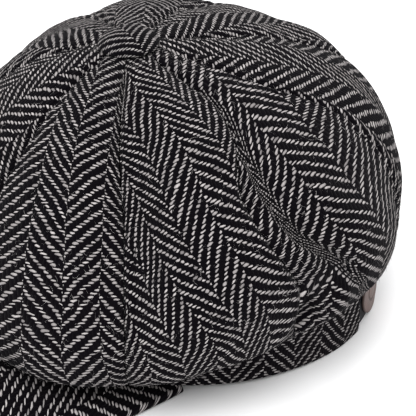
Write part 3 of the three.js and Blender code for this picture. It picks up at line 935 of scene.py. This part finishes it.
def tweed(name, ends, tone):
    """Coarse 2/2 herringbone of light wool over a near-black warp, so many ends to a column."""
    g = Graph(name)
    uv = g.weave()
    x, y, _ = g.parts(uv)
    wide, fine = (g.parts(g.noise(uv, drift["scale"], 1.0).outputs["Color"]) for drift in DRIFT.values())
    x = g.add(x, g.spread(wide[0], DRIFT["wide"]["across"]), g.spread(fine[0], DRIFT["fine"]["across"]))
    y = g.add(y, g.spread(wide[1], DRIFT["wide"]["along"]), g.spread(fine[1], DRIFT["fine"]["along"]))

    # The twill: it climbs one warp end a pick, and turns round at each reversal line
    end = g.math("DIVIDE", g.math("PINGPONG", x, END * ends), END)
    column = g.math("FLOOR", g.math("DIVIDE", x, END * ends))
    broken = g.mul(g.math("WRAP", column, 2.0, 0.0), 2.0)
    row = g.math("DIVIDE", y, PICK)
    pick = g.math("FLOOR", row)
    count = g.add(end, pick, broken)
    over = g.math("WRAP", count, 4.0, 0.0)
    number = g.math("FLOOR", g.math("DIVIDE", count, 4.0))
    chance = g.parts(g.random(g.vector(number, pick, column)).outputs["Color"])

    # One light float: a plump dash over two ends
    reach = g.add(FLOAT["reach"], g.spread(chance[0], FLOAT["reach_spread"]))
    width = g.add(FLOAT["width"], g.spread(chance[1], FLOAT["width_spread"]))
    dx = g.math("DIVIDE", g.add(g.sub(over, 1.0), g.spread(chance[2], FLOAT["shift"])), reach)
    lean = g.mul(dx, FLOAT["lean"])
    dy = g.add(g.sub(row, pick), -0.5, lean, g.spread(fine[2], FLOAT["wave"]))
    dy = g.math("DIVIDE", dy, width)
    light = g.sub(1.0, g.add(g.power(dx, FLOAT["power"]), g.power(dy, FLOAT["power"])))
    light_body = g.math("SQRT", g.math("MAXIMUM", light, 0.0))

    # One dark float: a warp end over two picks
    end_part = g.sub(end, g.math("FLOOR", end))
    under = g.math("WRAP", g.add(g.math("FLOOR", end), row, broken), 4.0, 0.0)
    ex = g.math("DIVIDE", g.sub(end_part, 0.5), 0.5)
    ey = g.math("DIVIDE", g.sub(under, WARP_FLOAT["at"]), WARP_FLOAT["reach"])
    dark = g.sub(1.0, g.add(g.power(ex, WARP_FLOAT["across"]), g.power(ey, WARP_FLOAT["along"])))
    dark_body = g.mul(g.math("SQRT", g.math("MAXIMUM", dark, 0.0)), WARP_FLOAT["height"])

    # Twisted fibres run slantwise over each yarn
    twist = g.vector(g.add(g.mul(x, 0.75), g.mul(y, 0.9)), g.add(g.mul(x, -0.16), g.mul(y, 0.13)), column)
    strand = g.noise(twist, 3.4, 3.0, 0.62).outputs[0]
    fibre = g.noise(g.vector(g.mul(x, 0.5), g.mul(y, 2.2)), 2.6, 3.0, 0.7).outputs[0]
    cover = g.ramp(g.add(light, g.spread(strand, 0.85)), 0.0, 0.3)

    # The light yarn: some floats are duller, some stretches soiled, and each is darker down its sides with
    # painted shade between yarns
    # tone scales the light yarn as painted light or painted shade for this piece
    yarn = [(*(part * tone for part in color[:3]), 1) for color in LIGHT_YARN]
    blot = g.noise(uv, 0.16, 3.0, 0.6).outputs[0]
    dull = g.random(g.vector(number, pick, g.add(column, 0.5))).outputs["Value"]
    pale = g.mix(g.ramp(chance[1], 0.0, 1.0), *yarn)
    pale = g.mix(g.ramp(dull, 0.72, 1.0, 0.0, 0.75), pale, DULL_YARN)
    pale = g.mix(g.ramp(blot, 0.35, 0.7, 0.0, 0.4), pale, SOILED_YARN)
    # Painted shade: the yarn darkens towards YARN_SHADE where it dips between its neighbours
    shade = g.add(0.3, g.mul(light_body, 0.62), g.spread(strand, 0.9))
    pale = g.mix(g.math("MULTIPLY", shade, 1.0, clamp=True), YARN_SHADE, pale)

    # The dark yarn, with fluff of the light one on it
    deep = g.mix(g.ramp(fibre, 0.5, 0.75), *DARK_YARN)
    fluff = g.noise(g.vector(g.mul(x, 0.9), g.mul(y, 0.35)), 2.2, 4.0, 0.75).outputs[0]
    deep = g.mix(g.ramp(fluff, 0.66, 0.82, 0.0, 0.22), deep, YARN_FLUFF)
    color = g.mix(cover, deep, pale)

    height = g.math("MAXIMUM", light_body, dark_body)
    height = g.add(height, g.mul(strand, 0.3), g.mul(fibre, 0.12))
    matt = {"Specular IOR Level": 0.015, "Sheen Weight": 0.02}
    return g.surface(color, 0.95, g.bump(0.9, 0.0006, height), matt)


def strap_cloth(name):
    """Smooth near-black ribbed webbing."""
    g = Graph(name)
    uv = g.weave()
    x, y, _ = g.parts(uv)
    rib = g.math("PINGPONG", x, 0.35)
    wander = g.noise(uv, 0.3, 3.0, 0.6).outputs[0]
    thread = g.math("PINGPONG", g.add(y, g.mul(wander, 0.4)), 0.3)
    fuzz = g.noise(uv, 2.5, 4.0, 0.7).outputs[0]
    height = g.add(g.mul(rib, 1.4), g.mul(thread, 0.8), g.mul(fuzz, 0.25))
    color = g.mix(g.ramp(fuzz, 0.3, 0.75), WEBBING["deep"], WEBBING["fuzz"])
    color = g.mix(g.ramp(wander, 0.5, 0.8, 0.0, 0.4), color, WEBBING["worn"])
    return g.surface(color, 0.75, g.bump(0.6, 0.0003, height), {"Specular IOR Level": 0.2})


def leather(name):
    """Dull brown leather with a fine grain, darker where it is pressed and rubbed at its edge."""
    g = Graph(name)
    uv = g.weave()
    cells = g.node("ShaderNodeTexVoronoi", {"feature": "DISTANCE_TO_EDGE"}, {"Vector": uv, "Scale": 1.1})
    grain = g.ramp(cells.outputs["Distance"], 0.0, 0.35)
    cloud = g.noise(uv, 0.18, 4.0, 0.6).outputs[0]
    pore = g.noise(uv, 3.0, 4.0, 0.6).outputs[0]
    x, y, _ = g.parts(uv)
    dx = g.math("DIVIDE", x, PATCH_LENGTH / 2)
    dy = g.math("DIVIDE", g.sub(y, PATCH_MIDDLE), PATCH_HEIGHT / 2)
    out = g.math("SQRT", g.add(g.mul(dx, dx), g.mul(dy, dy)))
    ring = g.math("ABSOLUTE", g.sub(out, RING["share"]))
    color = g.mix(g.ramp(cloud, 0.3, 0.7), *LEATHER)
    color = g.mix(g.ramp(ring, 0.075, 0.02, 0.0, 0.75), color, LEATHER_RING)
    color = g.mix(g.ramp(out, GROOVE["share"], 1.0, 0.0, 0.8), color, LEATHER_EDGE)
    color = g.mix(g.ramp(pore, 0.6, 0.75, 0.0, 0.25), color, LEATHER_PORE)
    height = g.add(g.mul(grain, 0.5), g.mul(pore, 0.3), g.mul(cloud, 0.4))
    rough = g.ramp(cloud, 0.2, 0.8, 0.5, 0.66)
    return g.surface(color, rough, g.bump(0.45, 0.0002, height), {"Specular IOR Level": 0.35})


def plain(name, color, roughness):
    """A plain matt surface with the faintest specks."""
    g = Graph(name)
    speck = g.noise(g.node("ShaderNodeTexCoord").outputs["Object"], 40.0, 3.0, 0.6).outputs[0]
    bump = g.bump(0.05, 0.0002, speck)
    tone = g.mix(g.ramp(speck, 0.3, 0.7), color, tuple(0.985 * c for c in color[:3]) + (1,))
    return g.surface(tone, roughness, bump)


def wool_hair(name):
    """Single wool hairs, light or dark."""
    g = Graph(name)
    uv = g.weave()
    tone = g.random(uv).outputs["Value"]
    color = g.mix(g.ramp(tone, 0.35, 0.75), *HAIR_COLOURS)
    speck = g.noise(uv, 3.0).outputs[0]
    return g.surface(color, 0.8, g.bump(0.1, 0.0001, speck), {"Sheen Weight": 0.2})


def fibres(name, material, surfaces, count):
    """Stray wool hairs that stand a little off the cloth."""
    rng = np.random.default_rng(HAIR_SEED)
    points = []
    faces = []
    uvs = []
    for grid, weave in surfaces:
        up = normals(grid)
        for _ in range(int(count / len(surfaces))):
            i = rng.integers(HAIR["rows"][0], grid.shape[0] - HAIR["rows"][1])
            j = rng.integers(HAIR["columns"][0], grid.shape[1] - HAIR["columns"][1])
            normal = up[i, j]
            side = grid[i, j + 1] - grid[i, j]
            side = side / np.linalg.norm(side)
            turn = rng.uniform(0, 2 * np.pi)
            lean = side * np.cos(turn) + np.cross(normal, side) * np.sin(turn)
            drawn = [rng.uniform(*HAIR[key]) for key in ("length", "rise", "curl", "thick")]
            length, rise, curl, thick = drawn
            root = grid[i, j] - normal * HAIR["sunk"]
            start = len(points)
            for t in np.linspace(0, 1, HAIR["steps"]):
                heading = lean * np.cos(curl * t) + np.cross(normal, lean) * np.sin(curl * t)
                arch = length * rise * np.sin(t * HAIR["arch"]) * HAIR["arch_height"]
                place = root + heading * length * t * HAIR["travel"] + normal * (HAIR["sunk"] + arch)
                across = np.cross(heading, normal)
                for turn in np.arange(HAIR["sides"]) * HAIR["spoke"]:
                    spoke = across * np.cos(turn) + normal * np.sin(turn)
                    points.append(place + spoke * thick * (1 - HAIR["taper"] * t))
                    uvs.append(weave[i, j])
            quads = grid_faces(HAIR["steps"], HAIR["sides"], start, wrap=True)
            faces += quads[:, [0, 3, 2, 1]].tolist()
    piece = make_mesh(name, points, faces, uvs, material)
    return piece


# Pieces
cloth = tweed("tweed_herringbone", COLUMN_ENDS, PAINTED_LIGHT_BY_PIECE["crown"])
surfaces = [crown_panel(number, cloth) for number in range(PANELS)]
button(cloth)
# The band's tweed is a darker copy: painted shade under the crown's overhang
shaded_band_tweed = tweed("tweed_of_band_painted_shade", COLUMN_ENDS, PAINTED_LIGHT_BY_PIECE["band"])
band_stretch("band_cloth", "band", shaded_band_tweed, "tweed", -BAND_END, BAND_END, 0, BAND_WALL, BAND_BULGE, 1)
trim = np.degrees(GAP / band_radius(BAND_END))
strap = strap_cloth("strap_webbing")
ends = (BAND_END + trim, 360 - BAND_END - trim)
band_stretch("strap_cloth", "back_strap", strap, "strap", *ends, STRAP_INSET, STRAP_WALL, 0, 0.25)
# The peak's tweed is a lighter copy: painted light where the crown shades it
peak(tweed("tweed_of_peak_painted_light", PEAK_ENDS, PAINTED_LIGHT_BY_PIECE["peak"]))
leather_patch(leather("patch_brown"))
hairs = HAIR_COUNT["full"]
fibres("stray_wool", wool_hair("stray_wool_hair"), surfaces, hairs)

# Floor
floor_mesh = bpy.data.meshes.new("floor")
corners = [(x * FLOOR_REACH, y * FLOOR_REACH, 0) for x, y in ((-1, -1), (1, -1), (1, 1), (-1, 1))]
floor_mesh.from_pydata(corners, [], [(0, 1, 2, 3)])
floor_mesh.materials.append(plain("floor_pale", FLOOR_COLOUR, 0.9))
floor = bpy.data.objects.new("floor", floor_mesh)
bpy.context.scene.collection.objects.link(floor)

# Camera
right = np.array([np.cos(AZIMUTH), np.sin(AZIMUTH), 0])
ahead = np.array([np.sin(AZIMUTH), -np.cos(AZIMUTH), 0])
toward = ahead * np.cos(ELEVATION) + np.array([0, 0, np.sin(ELEVATION)])
target = MIDDLE + right * AIM["right"] + np.array([0, 0, AIM["up"]])
camera = bpy.data.objects.new("camera", bpy.data.cameras.new("camera"))
camera.data.lens = LENS
camera.data.sensor_width = SENSOR
camera.data.clip_end = 50
camera.location = Vector((target + toward * DISTANCE) / 1000)
camera.rotation_euler = Vector(toward).to_track_quat("Z", "Y").to_euler()
bpy.context.scene.collection.objects.link(camera)
bpy.context.scene.camera = camera

# Light
for lamp in LAMPS:
    light = bpy.data.lights.new(lamp["name"], "AREA")
    light.shape = "DISK"
    light.size = lamp["size"]
    light.energy = lamp["watts"]
    holder = bpy.data.objects.new(lamp["name"], light)
    place = right * lamp["right"] + ahead * lamp["ahead"] + np.array([0, 0, lamp["up"]])
    holder.location = Vector(place)
    holder.rotation_euler = Vector(place).to_track_quat("Z", "Y").to_euler()
    bpy.context.scene.collection.objects.link(holder)

world = bpy.data.worlds.new("studio")
world.use_nodes = True
world.node_tree.nodes["Background"].inputs["Color"].default_value = (1, 1, 1, 1)
world.node_tree.nodes["Background"].inputs["Strength"].default_value = ROOM_LIGHT
bpy.context.scene.world = world
bpy.context.scene.view_settings.view_transform = "Standard"
